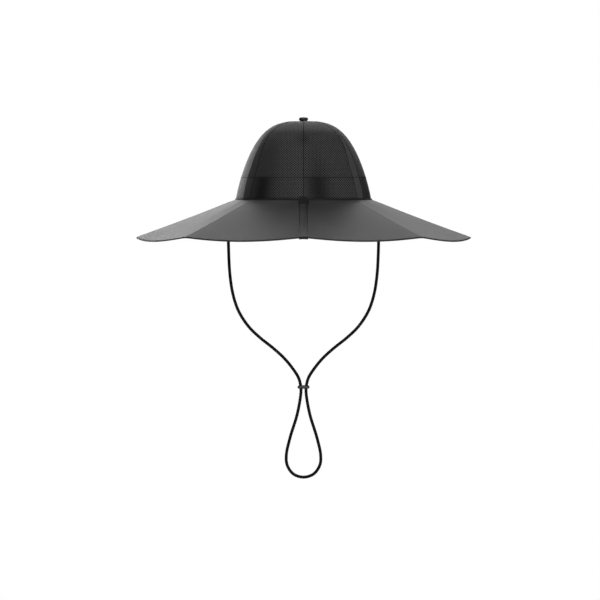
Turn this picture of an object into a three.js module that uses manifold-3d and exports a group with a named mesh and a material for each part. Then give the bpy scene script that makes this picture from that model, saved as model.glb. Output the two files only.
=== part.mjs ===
// A wide-brimmed sun hat: a domed mesh crown of sewn gores with a button on top, a faceted brim with
// one flat panel between each two folds, a strip down the front fold, and a chin cord with a slider.
// Millimetres. +Z is up and the front faces -Y. The origin is the centre of the head opening, level
// with the line where the crown meets the brim.
import * as THREE from 'three';
import { mergeVertices } from 'three/addons/utils/BufferGeometryUtils.js';
import Module from 'manifold-3d';

const wasm = await Module();
wasm.setup();

// Driving dimensions of the crown
const CROWN_HALF_WIDTH = 89;
const CROWN_HALF_LENGTH = 105;
const CROWN_HEIGHT = 102.4;
const CROWN_LEAN_POWER = 1.14;
const CROWN_SHOULDER_POWER = 3.3;
const GORE_COUNT = 6;
const GORE_FLATNESS = 0.03;
const MESH_WALL = 1.2;
const TAPE_WIDTH = 13;
const TAPE_WALL = 0.9;
const SWEATBAND_HEIGHT = 26;
const SWEATBAND_WALL = 1.5;
const PIPING_SIZE = 1.7;

// Driving dimensions of the brim
const HEM_RADIUS = 220.4;
const HEM_DROP = 50.4;
const FACET_COUNT = 8;
const FACET_DIP = 0.0265;
const FACET_SAG = 4.8;
const FOLD_SOFTNESS = 0.15;
const BRIM_STEEPENING = 0.08;
const BRIM_WALL = 1.5;
const HEM_WIDTH = 2;
const STRIP_WIDTH = 11.4;
const STRIP_WALL = 1;
const TAB_WIDTH = 12;
const TAB_WALL = 1.2;
const TAB_REACH = 6;

// Driving dimensions of the button, the cord and its slider
const BUTTON_WIDTH = 11.8;
const BUTTON_HEIGHT = 5;
const STEM_RADIUS = 1.2;
const PLATE_RADIUS = 5;
const CORD_DIAMETER = 3.5;
const CORD_STEPS = 80;
const CORD_SIDES = 8;
const ANCHOR_WIDTH = 9;
const ANCHOR_WALL = 4.4;
const SLIDER_LENGTH = 16;
const SLIDER_DEPTH = 7.8;
const SLIDER_HEIGHT = 4.8;
const SLIDER_HOLE_RADIUS = 2.55;

// Clearance that neighbouring pieces keep
const GAP = 0.3;

// Heights of the sections that the gores and the seam tapes are lofted through, above the foot
const CROWN_SECTION_HEIGHTS = [0.3, 13, 26, 39, 51, 62, 72, 81, 88.5, 94.5, 99, 101.4, 102.1];
const GORE_COLUMNS = 8;
const RING_STEPS_PER_GORE = 10;

// Where the brim is cut into rows, as shares of its run from the crown to the hem
const BRIM_ROWS = [0, 0.12, 0.5, 1];
const FACET_COLUMNS = 10;

// The patch over the strip's upper end: how far a row stands out from the crown's foot, how high
// it lies above the foot, and how wide it is
const PATCH_ROWS = [
  { out: 0.5, height: 3.5, halfWidth: 4.6 },
  { out: 1.8, height: 3.3, halfWidth: 6.6 },
  { out: 3.4, height: 2.2, halfWidth: 7.8 },
  { out: 4.8, height: -0.9, halfWidth: 8.2 },
  { out: 9.0, height: -3.2, halfWidth: 7.4 },
  { out: 13.0, height: -5.1, halfWidth: 5.7 },
];
const PATCH_WALL = 1;

// One half of the cord's route, from its anchor down to the bottom of the loop. The other half is
// its mirror image.
const CORD_HALF_ROUTE = [
  { x: 99.0, z: -20.3 },
  { x: 99.0, z: -34.0 },
  { x: 98.8, z: -58.0 },
  { x: 97.0, z: -97.4 },
  { x: 93.2, z: -123.7 },
  { x: 87.2, z: -143.4 },
  { x: 80.3, z: -156.6 },
  { x: 70.5, z: -169.8 },
  { x: 56.7, z: -182.9 },
  { x: 40.1, z: -196.1 },
  { x: 25.7, z: -209.2 },
  { x: 14.7, z: -222.4 },
  { x: 6.4, z: -235.6 },
  { x: 3.55, z: -247.4 },
  { x: 3.5, z: -256.0 },
  { x: 8.2, z: -282.9 },
  { x: 17.8, z: -314.5 },
  { x: 22.6, z: -337.0 },
  { x: 21.5, z: -350.1 },
  { x: 13.2, z: -361.9 },
];
const CORD_BOTTOM = { x: 0, z: -366.0 };
const SLIDER_Z = -247.4;

// How the slider's ends narrow, as shares of an end's length and of the full section
const SLIDER_END_ROWS = [
  { along: 0, scale: 1 },
  { along: 0.5, scale: 0.87 },
  { along: 0.85, scale: 0.53 },
  { along: 1, scale: 0.2 },
];

const seamOvalHalfWidth = CROWN_HALF_WIDTH / (1 - GORE_FLATNESS);
const lengthRatio = CROWN_HALF_LENGTH / seamOvalHalfWidth;
const goreAngle = (2 * Math.PI) / GORE_COUNT;
const facetAngle = (2 * Math.PI) / FACET_COUNT;
const tapeDepth = MESH_WALL + GAP;
const sweatbandDepth = tapeDepth + TAPE_WALL + GAP;
const cordRadius = CORD_DIAMETER / 2;

// Fabrics and plastics
const fabric = (color, roughness) => new THREE.MeshStandardMaterial({ color, roughness, metalness: 0 });
const meshFabric = () => fabric(0x2a2a2a, 0.9);
const tapeFabric = () => fabric(0x1f1f1f, 0.85);
const brimFabric = () => fabric(0x4a4a4c, 0.75);
const stripFabric = () => fabric(0x333333, 0.8);
const blackTrim = () => fabric(0x161616, 0.6);
const sliderPlastic = () => fabric(0x2e2e2e, 0.45);

const hat = new THREE.Group();

function addPiece(name, geometry, material) {
  const mesh = new THREE.Mesh(geometry, material);
  mesh.name = name;
  hat.add(mesh);
  return mesh;
}

// A closed solid from cross-sections. Each section lists the points on its outer face and, behind
// them, as many on its inner face. Both faces are split along the same diagonals, so the wall keeps
// its thickness. A ring joins its last section to its first.
function wallGeometry(sections, isRing = false) {
  const columns = sections[0].outer.length;
  const around = 2 * columns;
  const positions = [];
  for (const { outer, inner } of sections) {
    for (const point of [...outer, ...inner.toReversed()]) {
      positions.push(point.x, point.y, point.z);
    }
  }
  const indices = [];
  const spans = isRing ? sections.length : sections.length - 1;
  for (let span = 0; span < spans; span += 1) {
    const here = span * around;
    const next = ((span + 1) % sections.length) * around;
    for (let k = 0; k < around; k += 1) {
      const j = (k + 1) % around;
      if (k < columns) {
        indices.push(here + k, here + j, next + j);
        indices.push(here + k, next + j, next + k);
      } else {
        indices.push(here + k, here + j, next + k);
        indices.push(here + j, next + j, next + k);
      }
    }
  }
  if (!isRing) {
    const last = (sections.length - 1) * around;
    for (let k = 0; k < columns - 1; k += 1) {
      const across = around - 1 - k;
      indices.push(k + 1, k, across);
      indices.push(k + 1, across, across - 1);
      indices.push(last + k, last + k + 1, last + across - 1);
      indices.push(last + k, last + across - 1, last + across);
    }
  }
  if (signedVolume(positions, indices) < 0) {
    indices.reverse();
  }
  const geometry = new THREE.BufferGeometry();
  geometry.setAttribute('position', new THREE.Float32BufferAttribute(positions, 3));
  geometry.setIndex(indices);
  geometry.computeVertexNormals();
  return geometry;
}

function signedVolume(positions, indices) {
  const corners = [new THREE.Vector3(), new THREE.Vector3(), new THREE.Vector3()];
  let volume = 0;
  for (let k = 0; k < indices.length; k += 3) {
    corners.forEach((corner, n) => corner.fromArray(positions, 3 * indices[k + n]));
    volume += corners[0].dot(corners[1].cross(corners[2])) / 6;
  }
  return volume;
}

function toManifold(geometry) {
  const bare = new THREE.BufferGeometry();
  bare.setAttribute('position', geometry.getAttribute('position'));
  bare.setIndex(geometry.getIndex());
  const merged = mergeVertices(bare);
  return new wasm.Manifold(new wasm.Mesh({
    numProp: 3,
    vertProperties: new Float32Array(merged.getAttribute('position').array),
    triVerts: new Uint32Array(merged.getIndex().array),
  }));
}

// A solid with other solids cut out of it
function cutAway(geometry, cutters) {
  const rest = cutters.reduce((solid, cutter) => solid.subtract(toManifold(cutter)), toManifold(geometry));
  const mesh = rest.getMesh();
  const cut = new THREE.BufferGeometry();
  cut.setAttribute('position', new THREE.BufferAttribute(mesh.vertProperties, mesh.numProp));
  cut.setIndex(new THREE.BufferAttribute(mesh.triVerts, 1));
  cut.computeVertexNormals();
  return cut;
}

// Evenly spaced values from start to end, both included
function spread(start, end, steps) {
  return Array.from({ length: steps + 1 }, (_, k) => start + ((end - start) * k) / steps);
}

// The crown's half width at a height, to the outer face in the middle of a side gore
function crownHalfWidth(height) {
  const rest = 1 - (height / CROWN_HEIGHT) ** CROWN_LEAN_POWER;
  return CROWN_HALF_WIDTH * rest ** (1 / CROWN_SHOULDER_POWER);
}

function crownHeightAt(halfWidth) {
  const rest = 1 - (halfWidth / CROWN_HALF_WIDTH) ** CROWN_SHOULDER_POWER;
  return CROWN_HEIGHT * rest ** (1 / CROWN_LEAN_POWER);
}

// Each gore is flatter than the oval through the seams. This is 1 in the middle of a gore and
// slightly more at its seams.
function goreSpread(angle) {
  const turns = angle / goreAngle;
  const fromMiddle = 2 * (turns - Math.floor(turns)) - 1;
  return (1 - GORE_FLATNESS * (1 - fromMiddle ** 2)) / (1 - GORE_FLATNESS);
}

// A point of the crown, some depth below its outer face. The angle turns from the front to +X.
function crownPoint(angle, height, depth) {
  const halfWidth = crownHalfWidth(height);
  const reach = halfWidth * goreSpread(angle);
  const outward = CROWN_SHOULDER_POWER * halfWidth ** (CROWN_SHOULDER_POWER - 1);
  const upward = CROWN_LEAN_POWER * height ** (CROWN_LEAN_POWER - 1);
  const steepness = outward / CROWN_HALF_WIDTH ** CROWN_SHOULDER_POWER;
  const normal = new THREE.Vector3(
    steepness * Math.sin(angle),
    (-steepness * Math.cos(angle)) / lengthRatio,
    upward / CROWN_HEIGHT ** CROWN_LEAN_POWER,
  ).normalize();
  const outer = new THREE.Vector3(
    reach * Math.sin(angle),
    -reach * lengthRatio * Math.cos(angle),
    height,
  );
  return outer.addScaledVector(normal, -depth);
}

// The angle on the crown's oval that lies in a direction seen from above
function ovalAngle(direction) {
  return Math.atan2(lengthRatio * Math.sin(direction), Math.cos(direction));
}

function directionOf(angle) {
  return Math.atan2(Math.sin(angle), lengthRatio * Math.cos(angle));
}

// Angles all round the crown, with every seam among them
function crownAngles() {
  const steps = GORE_COUNT * RING_STEPS_PER_GORE;
  return spread(0, 2 * Math.PI, steps).slice(0, steps);
}

function crownRadius(direction, depth) {
  const foot = crownPoint(ovalAngle(direction), CROWN_SECTION_HEIGHTS[0], depth);
  return Math.hypot(foot.x, foot.y);
}

// 0 on a fold of the brim and 1 in the middle of a facet, rounded off over the fold
function facetShare(direction) {
  const turns = direction / facetAngle;
  const fromFold = 2 * Math.abs(turns - Math.round(turns));
  const rounded = Math.hypot(fromFold, FOLD_SOFTNESS) - FOLD_SOFTNESS;
  const whole = Math.hypot(1, FOLD_SOFTNESS) - FOLD_SOFTNESS;
  return 1 - (1 - rounded / whole) ** 2;
}

function hemRadius(direction) {
  return HEM_RADIUS * (1 - FACET_DIP * facetShare(direction));
}

// A point on the brim's upper face, or above it by lift
function brimPoint(direction, radius, lift = 0) {
  const inner = crownRadius(direction, MESH_WALL);
  const run = (radius - inner) / (hemRadius(direction) - inner);
  const fall = HEM_DROP + FACET_SAG * facetShare(direction);
  const height = -fall * run * (1 + BRIM_STEEPENING * (1 - run));
  return new THREE.Vector3(
    radius * Math.sin(direction),
    -radius * Math.cos(direction),
    height + lift,
  );
}

// One mesh gore between two seams, lofted from the foot to the hole round the button's stem
function goreGeometry(index) {
  const holeHalfWidth = STEM_RADIUS + GAP;
  const heights = [...CROWN_SECTION_HEIGHTS, crownHeightAt(holeHalfWidth)];
  const sections = heights.map((height) => {
    const margin = GAP / 2 / crownHalfWidth(height);
    const start = index * goreAngle + margin;
    const end = (index + 1) * goreAngle - margin;
    const angles = spread(start, end, GORE_COLUMNS);
    return {
      outer: angles.map((angle) => crownPoint(angle, height, 0)),
      inner: angles.map((angle) => crownPoint(angle, height, MESH_WALL)),
    };
  });
  return wallGeometry(sections);
}

// The tape inside one seam. It starts above the foot and ends short of the button's plate.
function tapeGeometry(index) {
  const seam = index * goreAngle;
  const sections = CROWN_SECTION_HEIGHTS.map((height) => {
    const halfAngle = TAPE_WIDTH / 2 / crownHalfWidth(height);
    const angles = spread(seam - halfAngle, seam + halfAngle, 4);
    return {
      outer: angles.map((angle) => crownPoint(angle, height, tapeDepth)),
      inner: angles.map((angle) => crownPoint(angle, height, tapeDepth + TAPE_WALL)),
    };
  });
  return wallGeometry(sections);
}

function sweatbandGeometry() {
  const heights = [CROWN_SECTION_HEIGHTS[0], SWEATBAND_HEIGHT / 2, SWEATBAND_HEIGHT];
  const sections = crownAngles().map((angle) => ({
    outer: heights.map((height) => crownPoint(angle, height, sweatbandDepth)),
    inner: heights.map((height) => crownPoint(angle, height, sweatbandDepth + SWEATBAND_WALL)),
  }));
  return wallGeometry(sections, true);
}

// Directions round the hat, closer together at the folds than in the middle of a facet
function facetDirections(facet, margin = 0) {
  const half = facetAngle / 2 - margin;
  const middle = (facet + 0.5) * facetAngle;
  return spread(-1, 1, FACET_COLUMNS).map((k) => middle + half * Math.sin((k * Math.PI) / 2));
}

function ringDirections() {
  const facets = spread(0, FACET_COUNT - 1, FACET_COUNT - 1);
  return facets.flatMap((facet) => facetDirections(facet).slice(0, FACET_COLUMNS));
}

// One facet of the brim, from under the crown's foot to the hem binding
function brimPanelGeometry(facet) {
  const columns = facetDirections(facet).map((_, column) => column);
  const sections = columns.map((column) => {
    const top = BRIM_ROWS.map((row) => {
      const middle = (facet + 0.5) * facetAngle;
      const rough = CROWN_HALF_WIDTH + row * (HEM_RADIUS - CROWN_HALF_WIDTH);
      const direction = facetDirections(facet, GAP / 2 / rough)[column] ?? middle;
      const inner = crownRadius(direction, MESH_WALL);
      const outer = hemRadius(direction) - HEM_WIDTH - GAP;
      return brimPoint(direction, inner + row * (outer - inner));
    });
    const bottom = top.map((point) => point.clone().setZ(point.z - BRIM_WALL));
    return { outer: top, inner: bottom };
  });
  return wallGeometry(sections);
}

// The rolled edge round the brim
function hemBindingGeometry() {
  const sections = ringDirections().map((direction) => {
    const edge = hemRadius(direction);
    const radii = [edge - HEM_WIDTH, edge - HEM_WIDTH / 3, edge];
    const lifts = [0, 0.1, -BRIM_WALL / 3];
    const top = radii.map((radius, k) => brimPoint(direction, radius, lifts[k]));
    const bottom = radii.map((radius, k) => brimPoint(direction, radius, -BRIM_WALL - lifts[k]));
    return { outer: top, inner: bottom };
  });
  return wallGeometry(sections, true);
}

// The piping that lies in the corner between the crown and the brim, turned at each seam
function pipingGeometry() {
  const sections = crownAngles().map((angle) => {
    const direction = directionOf(angle);
    const near = crownRadius(direction, 0) + GAP;
    const radii = [near, near + 0.6 * PIPING_SIZE, near + PIPING_SIZE];
    const tops = [1, 1, 0.5];
    return {
      outer: radii.map((radius, k) => brimPoint(direction, radius, GAP + tops[k] * PIPING_SIZE)),
      inner: radii.map((radius) => brimPoint(direction, radius, GAP)),
    };
  });
  return wallGeometry(sections, true);
}

// A point over the front fold, some way across it, out from the centre and above the brim
function frontPoint(across, out, lift) {
  return brimPoint(Math.atan2(across, out), Math.hypot(across, out), lift);
}

function stripGeometry() {
  const start = crownRadius(0, 0) + PATCH_ROWS.at(-1).out + GAP;
  const acrosses = spread(-STRIP_WIDTH / 2, STRIP_WIDTH / 2, 4);
  const sections = spread(start, HEM_RADIUS - GAP, 4).map((out) => ({
    outer: acrosses.map((across) => frontPoint(across, out, 1.2 * GAP + STRIP_WALL)),
    inner: acrosses.map((across) => frontPoint(across, out, 1.2 * GAP)),
  }));
  return wallGeometry(sections);
}

// The patch arches from the crown over the piping and down onto the brim
function patchGeometry() {
  const foot = crownRadius(0, 0);
  const sections = PATCH_ROWS.map(({ out, height, halfWidth }, row) => {
    const before = PATCH_ROWS[Math.max(row - 1, 0)];
    const after = PATCH_ROWS[Math.min(row + 1, PATCH_ROWS.length - 1)];
    const slope = new THREE.Vector2(after.out - before.out, after.height - before.height).normalize();
    const acrosses = spread(-halfWidth, halfWidth, 4);
    return {
      outer: acrosses.map((across) => new THREE.Vector3(across, -foot - out, height)),
      inner: acrosses.map((across) => new THREE.Vector3(
        across,
        -foot - out - PATCH_WALL * slope.y,
        height - PATCH_WALL * slope.x,
      )),
    };
  });
  return wallGeometry(sections);
}

// The tab folds down over the hem's edge at the strip's end and back under it
function endTabGeometry() {
  const acrosses = spread(-TAB_WIDTH / 2, TAB_WIDTH / 2, 4);
  const sections = acrosses.map((across) => {
    const at = (out, lift) => {
      const point = frontPoint(across, Math.min(out, HEM_RADIUS), lift);
      return point.setY(Math.min(point.y, -out));
    };
    const under = -BRIM_WALL - 1.5 * GAP;
    return {
      outer: [
        at(HEM_RADIUS + GAP + TAB_WALL, STRIP_WALL),
        at(HEM_RADIUS + GAP + TAB_WALL, under - TAB_WALL),
        at(HEM_RADIUS - TAB_REACH, under - TAB_WALL),
      ],
      inner: [
        at(HEM_RADIUS + GAP, STRIP_WALL),
        at(HEM_RADIUS + GAP, under),
        at(HEM_RADIUS - TAB_REACH, under),
      ],
    };
  });
  return wallGeometry(sections);
}

// The button's domed head, its stem through the gores and the plate below them, in one turning
function buttonGeometry() {
  const headRadius = BUTTON_WIDTH / 2;
  const seat = CROWN_HEIGHT + GAP;
  const plateTop = CROWN_HEIGHT - MESH_WALL - GAP;
  const profile = [
    [0, plateTop - 1],
    [PLATE_RADIUS, plateTop - 1],
    [PLATE_RADIUS, plateTop],
    [STEM_RADIUS, plateTop],
    [STEM_RADIUS, seat],
    [0.72 * headRadius, seat],
    [headRadius, seat + 0.35 * BUTTON_HEIGHT],
    [0.93 * headRadius, seat + 0.62 * BUTTON_HEIGHT],
    [0.66 * headRadius, seat + 0.88 * BUTTON_HEIGHT],
    [0, seat + BUTTON_HEIGHT],
  ];
  const lathe = new THREE.LatheGeometry(profile.map(([r, z]) => new THREE.Vector2(r, z)), 24);
  return lathe.rotateX(Math.PI / 2);
}

// A tab under the brim, above the cord's end, whose top follows the brim's lower face
function anchorGeometry(side) {
  const cordX = CORD_HALF_ROUTE[0].x;
  const bottom = CORD_HALF_ROUTE[0].z + GAP;
  const corner = (x, y) => {
    const lift = -BRIM_WALL - 1.2 * GAP;
    return brimPoint(Math.atan2(x, -y), Math.hypot(x, y), lift);
  };
  const face = (x, y) => [corner(x, y), new THREE.Vector3(x, y, bottom)];
  const sections = spread(-ANCHOR_WIDTH / 2, ANCHOR_WIDTH / 2, 2).map((y) => ({
    outer: face(side * (cordX + ANCHOR_WALL / 2), y),
    inner: face(side * (cordX - ANCHOR_WALL / 2), y),
  }));
  return wallGeometry(sections);
}

function regularShape(radius, sides) {
  const corners = spread(0, 2 * Math.PI, sides).slice(0, sides);
  return new THREE.Shape(corners.map((a) => new THREE.Vector2(radius * Math.cos(a), radius * Math.sin(a))));
}

function cordGeometry() {
  const half = CORD_HALF_ROUTE.map(({ x, z }) => new THREE.Vector3(x, 0, z));
  const mirrored = CORD_HALF_ROUTE.map(({ x, z }) => new THREE.Vector3(-x, 0, z)).reverse();
  const bottom = new THREE.Vector3(CORD_BOTTOM.x, 0, CORD_BOTTOM.z);
  const route = new THREE.CatmullRomCurve3([...half, bottom, ...mirrored], false, 'centripetal');
  return new THREE.ExtrudeGeometry(regularShape(cordRadius, CORD_SIDES), {
    steps: CORD_STEPS,
    extrudePath: route,
  });
}

// The slider is a flattened bar with rounded ends, drilled through for the cord's two runs
function sliderGeometry() {
  const endLength = SLIDER_HEIGHT / 2;
  const straight = SLIDER_LENGTH / 2 - endLength;
  const halfStations = SLIDER_END_ROWS.map(({ along, scale }) => ({ x: straight + along * endLength, scale }));
  const mirrored = halfStations.map(({ x, scale }) => ({ x: -x, scale })).reverse();
  const sections = [...mirrored, ...halfStations].map(({ x, scale }) => {
    const upper = spread(Math.PI / 12, (11 * Math.PI) / 12, 5).map((a) => new THREE.Vector3(
      x,
      (scale * SLIDER_DEPTH * Math.cos(a)) / 2,
      (scale * SLIDER_HEIGHT * Math.sin(a)) / 2,
    ));
    return { outer: upper, inner: upper.map((point) => point.clone().setZ(-point.z)) };
  });
  const runX = CORD_HALF_ROUTE.find(({ z }) => z === SLIDER_Z).x;
  const drills = [-runX, runX].map((x) => {
    const drill = new THREE.CylinderGeometry(SLIDER_HOLE_RADIUS, SLIDER_HOLE_RADIUS, 2 * SLIDER_HEIGHT, 16);
    return drill.rotateX(Math.PI / 2).translate(x, 0, 0);
  });
  return cutAway(wallGeometry(sections), drills);
}

// The gores and the facets, in the order in which they follow each other from the front to +X
const GORE_NAMES = ['front_right', 'right', 'back_right', 'back_left', 'left', 'front_left'];
const SEAM_NAMES = ['front', 'front_right', 'back_right', 'back', 'back_left', 'front_left'];
const FACET_NAMES = [
  'front_right',
  'right_front',
  'right_back',
  'back_right',
  'back_left',
  'left_back',
  'left_front',
  'front_left',
];

GORE_NAMES.forEach((name, index) => addPiece(`crown_gore_${name}`, goreGeometry(index), meshFabric()));
SEAM_NAMES.forEach((name, index) => addPiece(`seam_tape_${name}`, tapeGeometry(index), tapeFabric()));
addPiece('top_button', buttonGeometry(), blackTrim());
addPiece('sweatband', sweatbandGeometry(), tapeFabric());
addPiece('base_piping', pipingGeometry(), blackTrim());
FACET_NAMES.forEach((name, facet) => addPiece(`brim_panel_${name}`, brimPanelGeometry(facet), brimFabric()));
addPiece('hem_binding', hemBindingGeometry(), blackTrim());
addPiece('front_strip', stripGeometry(), stripFabric());
addPiece('strip_patch', patchGeometry(), blackTrim());
addPiece('strip_end_tab', endTabGeometry(), blackTrim());
addPiece('cord_anchor_right', anchorGeometry(1), blackTrim());
addPiece('cord_anchor_left', anchorGeometry(-1), blackTrim());
addPiece('chin_cord', cordGeometry(), blackTrim());
const slider = addPiece('cord_slider', sliderGeometry(), sliderPlastic());
slider.position.z = SLIDER_Z;

export default hat;
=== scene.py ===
# The looks of a wide-brimmed sun hat: a mesh crown, a faceted brim with a strip down its front fold,
# and a chin cord with a slider. Metres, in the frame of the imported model: the front faces -Y.
import math

import bpy
import numpy as np
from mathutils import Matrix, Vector


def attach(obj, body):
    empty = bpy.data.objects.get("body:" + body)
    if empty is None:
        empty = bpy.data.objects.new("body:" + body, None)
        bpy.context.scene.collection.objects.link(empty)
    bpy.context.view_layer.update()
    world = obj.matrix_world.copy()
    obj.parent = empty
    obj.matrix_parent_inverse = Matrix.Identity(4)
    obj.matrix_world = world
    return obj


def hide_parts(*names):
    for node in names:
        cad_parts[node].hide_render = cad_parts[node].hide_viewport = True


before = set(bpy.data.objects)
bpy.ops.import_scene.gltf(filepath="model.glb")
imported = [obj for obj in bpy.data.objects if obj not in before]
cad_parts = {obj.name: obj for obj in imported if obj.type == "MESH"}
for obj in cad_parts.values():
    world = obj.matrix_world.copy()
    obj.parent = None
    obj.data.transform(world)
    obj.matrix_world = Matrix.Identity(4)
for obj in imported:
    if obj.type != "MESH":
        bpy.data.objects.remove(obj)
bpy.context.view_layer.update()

MM = 0.001
GAP = 0.3 * MM

# The crown
CROWN_HALF_WIDTH = 89 * MM
CROWN_HALF_LENGTH = 105 * MM
CROWN_HEIGHT = 102.4 * MM
CROWN_LEAN_POWER = 1.14
CROWN_SHOULDER_POWER = 3.3
CROWN_FOOT = 0.3 * MM
GORE_COUNT = 6
GORE_FLATNESS = 0.03
MESH_WALL = 1.2 * MM
BACKING_DEPTH = 0.3 * MM
BACKING_MARGIN = 0.1 * MM
SEAM_MARGIN = 0.25 * MM
TAPE_WIDTH = 13 * MM
TAPE_WALL = 0.9 * MM
SWEATBAND_HEIGHT = 26 * MM
SWEATBAND_WALL = 1.5 * MM
SWEATBAND_SEAM_HEIGHT = 28.6 * MM
PIPING_SIZE = 1.25 * MM

# The net over the crown. Its cells are diamonds, each with a hole that takes up a share of its width
NET_HALF_ACROSS = 1.9 * MM
NET_HALF_UP = 1.75 * MM
NET_HOLE_SHARE = 0.68
NET_STRAND_WALL = 0.25 * MM
NET_TOP_HALF_WIDTH = 4.5 * MM

# The close cloth along each gore's rear edge, where its seam allowance is sewn down. It keeps its
# width up to the first height and narrows from there to the second one
BAND_WIDTH = 14.5 * MM
BAND_TOP_WIDTH = 5 * MM
BAND_HEIGHTS = (45 * MM, 85 * MM)

# The same beside the front seam, as high as the sweatband behind it
FRONT_TAB_WIDTH = 7.5 * MM

# The painted shade on a stretch of each gore: how far it lies past the gore's own seam, how wide it is,
# and how dark it is below and above the sweatband's seam. The close cloth, the tab beside the front
# seam and the net's inside face get painted shade too
SHADE_TURNS = np.radians([12.5, 11, 14, 14, 14, 20.4])
SHADE_SPREADS = np.radians([11.5, 14, 10, 10, 10, 10.5])
SHADE_LOW = 0.85
SHADE_HIGH = 0.5
SHADE_TOP = 80 * MM
CLOSE_CLOTH_SHADES = (0.15, 0.15, 0.15, 0.15, 0.15, 0.4)
FRONT_TAB_SHADE = 0.6
NET_INSIDE_SHADE = 0.95

# The painted shade below the button at the front, and the painted highlight that makes the net paler
# towards the top
SPOT_SHADE = 0.45
SPOT_HEIGHT = 80 * MM
SPOT_REACH = 8 * MM
SPOT_SPREAD = math.radians(9)
TOP_HIGHLIGHT = 0.7
TOP_HIGHLIGHT_HEIGHTS = (87 * MM, 93 * MM)

# The stretch of the front left gore where a flat painted shade fills the net's holes
SHADOW_FILL_TURNS = (math.radians(24), math.radians(36))
SHADOW_FILL_HEIGHTS = (28 * MM, 31 * MM, 62 * MM, 84 * MM)
SHADOW_FILL_GREY = 0.034

# The brim
HEM_RADIUS = 220.4 * MM
HEM_DROP = 50.4 * MM
FACET_COUNT = 8
FACET_DIP = 0.0265
FACET_SAG = 4.8 * MM
FOLD_SOFTNESS = 0.07
BRIM_STEEPENING = 0.08
BRIM_WALL = 1.5 * MM
BRIM_HEM_ROOM = 0.7 * MM
STRIP_WIDTH = 11.4 * MM
STRIP_WALL = 1 * MM
STRIP_LIFT = 1.2 * GAP
STRIP_UNDER_PATCH = 0.4 * MM
TAB_WIDTH = 12 * MM
TAB_WALL = 1.2 * MM
TAB_REACH = 6 * MM

# The raised ridge on each fold, with a painted highlight along it. It starts and ends at a share of the
# brim's width from the crown and from the hem. The front fold has none, up to this sine of half the turn
# from the front
RIDGE_HEIGHT = 0.45 * MM
RIDGE_WIDTH = 1.3 * MM
RIDGE_START = 0.08
RIDGE_END = 0.04
RIDGE_HIGHLIGHT = 0.8
FRONT_FOLD_SINE = 0.1

# The painted shade on the brim at the front of the crown's foot: how dark it is, how far out it reaches
# as a share of the brim's width, and its middle and its spread as sines of the direction
FOOT_SHADE = 0.84
FOOT_SHADE_REACH = 0.26
FOOT_SHADE_MIDDLE = -0.04
FOOT_SHADE_SPREAD = 0.24

# The painted light that makes the brim's front paler half way down, measured like the painted shade
PAINTED_LIGHT = 0.45
PAINTED_LIGHT_AT = 0.62
PAINTED_LIGHT_REACH = 0.28
PAINTED_LIGHT_SPREAD = 0.21

# The button and the cord's anchors, which are nearly square, narrower half way up and rounded off
# at the foot
BUTTON_WIDTH = 11.8 * MM
BUTTON_HEIGHT = 5 * MM
STEM_RADIUS = 1.2 * MM
PLATE_RADIUS = 5 * MM
ANCHOR_WIDTH = 9 * MM
ANCHOR_WALL = 4.4 * MM
ANCHOR_POWER = 0.45
ANCHOR_WAIST = 0.12
ANCHOR_ROUNDING = 0.16

# The photograph's frame: 600 pixels across show this many metres at the hat, from this place
VIEW_WIDTH = 789.6 * MM
CAMERA_PLACE = (-4.6 * MM, -2.4, -132.9 * MM)

LENGTH_RATIO = CROWN_HALF_LENGTH / (CROWN_HALF_WIDTH / (1 - GORE_FLATNESS))
GORE_ANGLE = math.tau / GORE_COUNT
FACET_ANGLE = math.tau / FACET_COUNT
TAPE_DEPTH = MESH_WALL + GAP
SWEATBAND_DEPTH = TAPE_DEPTH + TAPE_WALL + GAP


def add_object(name, data):
    made = bpy.data.objects.new(name, data)
    bpy.context.scene.collection.objects.link(made)
    return made


def make_camera():
    data = bpy.data.cameras.new("camera")
    data.type = "ORTHO"
    data.ortho_scale = VIEW_WIDTH
    camera = add_object("camera", data)
    camera.location = CAMERA_PLACE
    camera.rotation_euler = (math.pi / 2, 0, 0)
    bpy.context.scene.camera = camera


make_camera()


# Lines and rings of points
def unit(vectors):
    return vectors / np.linalg.norm(vectors, axis=-1, keepdims=True)


def walk(points, axis):
    """How far each point lies along its line, in metres."""
    steps = np.linalg.norm(np.diff(points, axis=axis), axis=-1)
    start = np.zeros_like(np.take(steps, [0], axis=axis))
    return np.concatenate([start, np.cumsum(steps, axis=axis)], axis=axis)


def points_at(where, along, points):
    """The points that lie that far along a line, whose own points lie at along."""
    return np.stack([np.interp(where, along, points[:, k]) for k in range(3)], -1)


def near_edge(share, start, end=1.0):
    """0 in the middle of a width that runs from -1 to 1, and 1 from end outwards on both sides."""
    return np.clip((np.abs(share) - start) / (end - start), 0, 1)


def full_turn(count):
    """Angles evenly round a circle."""
    return np.linspace(0, math.tau, count, endpoint=False)


def rounded_square(count, power):
    """A ring between a circle, whose power is 1, and a square, whose power is 0. Both are 2 wide."""
    sine, cosine = np.sin(full_turn(count)), np.cos(full_turn(count))
    return np.sign(cosine) * np.abs(cosine) ** power, np.sign(sine) * np.abs(sine) ** power


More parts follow.
